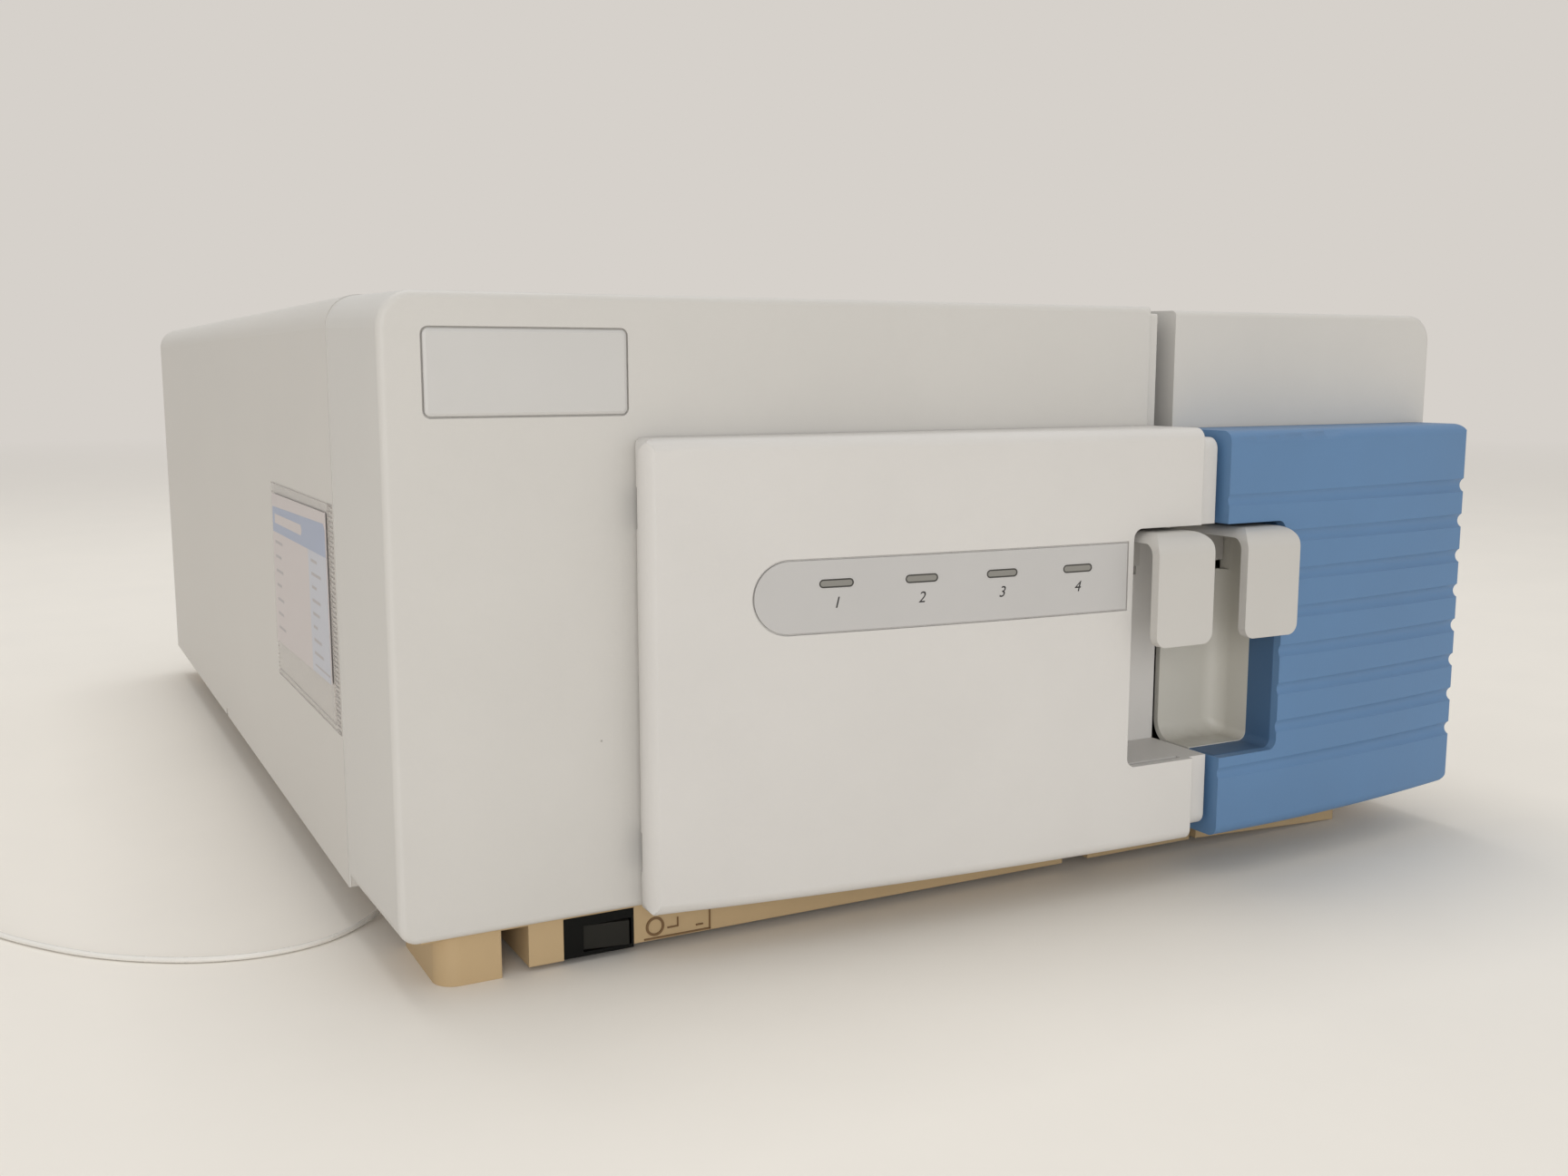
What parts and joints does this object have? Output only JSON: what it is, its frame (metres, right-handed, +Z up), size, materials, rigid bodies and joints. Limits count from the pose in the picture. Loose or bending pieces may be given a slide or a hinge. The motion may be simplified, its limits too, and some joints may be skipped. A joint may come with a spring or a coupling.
{
  "type": "liquid chromatography detector module",
  "caption": "Bench-top liquid chromatography detector module with a wrap cover, two bowed doors over the flow cell and lamps, and a drain tube.",
  "frame": {"origin": "middle of the footprint, at the bench, without the drain tube", "axes": "+Z up, -Y out of the doors, +X to the right seen from the front"},
  "size_m": [0.4834, 0.513, 0.1785],
  "materials": {
    "cover_white": "fine moulded texture",
    "bezel_white": "fine moulded texture",
    "door_white": "fine moulded texture",
    "door_blue": "fine moulded texture",
    "hook_white": "satin moulded",
    "badge_grey": "satin plate",
    "strip_silver": "satin film",
    "light_grey": "smoked lens",
    "base_tan": "moulded foam plastic",
    "switch_black": "satin",
    "bracket_black": "powder coat",
    "pin_steel": "ground",
    "magnet_grey": "nickel plated",
    "sheet_steel": "zinc plated",
    "panel_grey": "powder coat",
    "tray_plastic": "moulded",
    "cast_aluminium": "sand cast and machined",
    "screw_steel": "knurled",
    "fitting_plastic": "turned",
    "lamp_glass": "clear",
    "optic_mirror": "polished",
    "optic_black": "black anodised",
    "board_green": "solder mask",
    "part_black": "moulded",
    "socket_metal": "tinned shield",
    "terminal_green": "moulded",
    "tube_clear": "translucent extrusion",
    "pouch_clear": "clear film",
    "card_paper": "printed card"
  },
  "bodies": {
    "case": {"rear_cover": "cover_white", "bezel_left": "bezel_white", "bezel_right": "bezel_white", "badge_plate": "badge_grey", "base_tray": "base_tan", "switch_body": "switch_black", "white_hinge_lower": "bracket_black", "white_hinge_upper": "bracket_black", "blue_hinge_lower": "bracket_black", "blue_hinge_upper": "bracket_black", "flow_cell": "pin_steel", "left_catch_magnet": "magnet_grey", "right_catch_magnet": "magnet_grey", "chassis_pan": "sheet_steel", "power_supply": "sheet_steel", "compartment_panel": "panel_grey", "rear_panel": "panel_grey", "lamp_cover": "panel_grey", "drip_tray": "tray_plastic", "optical_bench": "cast_aluminium", "lamp_housing": "cast_aluminium", "flow_cell_mount": "cast_aluminium", "captive_screws": "screw_steel", "inlet_fitting": "fitting_plastic", "outlet_fitting": "fitting_plastic", "drain_fitting": "fitting_plastic", "deuterium_lamp": "lamp_glass", "tungsten_lamp": "lamp_glass", "focusing_mirror": "optic_mirror", "concave_grating": "optic_mirror", "entrance_slit": "optic_black", "main_board": "board_green", "diode_array": "board_green", "fan_frame": "part_black", "power_inlet": "part_black", "network_socket": "socket_metal", "signal_connectors": "terminal_green", "drain_tube": "tube_clear", "drain_coil": "tube_clear", "document_pouch": "pouch_clear", "pouch_card": "card_paper"},
    "white_door": {"white_door": "door_white", "status_strip": "strip_silver", "status_board": "board_green", "status_light_1": "light_grey", "status_light_2": "light_grey", "status_light_3": "light_grey", "status_light_4": "light_grey", "hook_left": "hook_white", "white_hinge_pins": "pin_steel", "left_strike_plate": "pin_steel"},
    "blue_door": {"blue_door": "door_blue", "handle_cup": "hook_white", "hook_right": "hook_white", "blue_hinge_pins": "pin_steel", "right_strike_plate": "pin_steel"},
    "rocker": {"switch_rocker": "switch_black"},
    "fan": {"fan_rotor": "part_black"},
    "fuse_drawer": {"fuse_drawer": "part_black"}
  },
  "joints": [
    {"name": "white_door_hinge", "type": "hinge", "parent": "case", "child": "white_door", "pos_m": [-0.1115, -0.2295, 0.0775], "axis": [0, 0, -1], "range_deg": [0, 100]},
    {"name": "blue_door_hinge", "type": "hinge", "parent": "case", "child": "blue_door", "pos_m": [0.1763, -0.2295, 0.0775], "axis": [0, 0, 1], "range_deg": [0, 90]},
    {"name": "rocker_tilt", "type": "hinge", "parent": "case", "child": "rocker", "pos_m": [-0.1239, -0.2177, 0.0073], "axis": [0, 0, 1], "range_deg": [0, 18]},
    {"name": "fan_spin", "type": "hinge", "parent": "case", "child": "fan", "pos_m": [0.0059, 0.246, 0.106], "axis": [0, 1, 0], "continuous": true},
    {"name": "fuse_drawer_slide", "type": "slide", "parent": "case", "child": "fuse_drawer", "axis": [0, 1, 0], "range_m": [0, 0.018]}
  ]
}
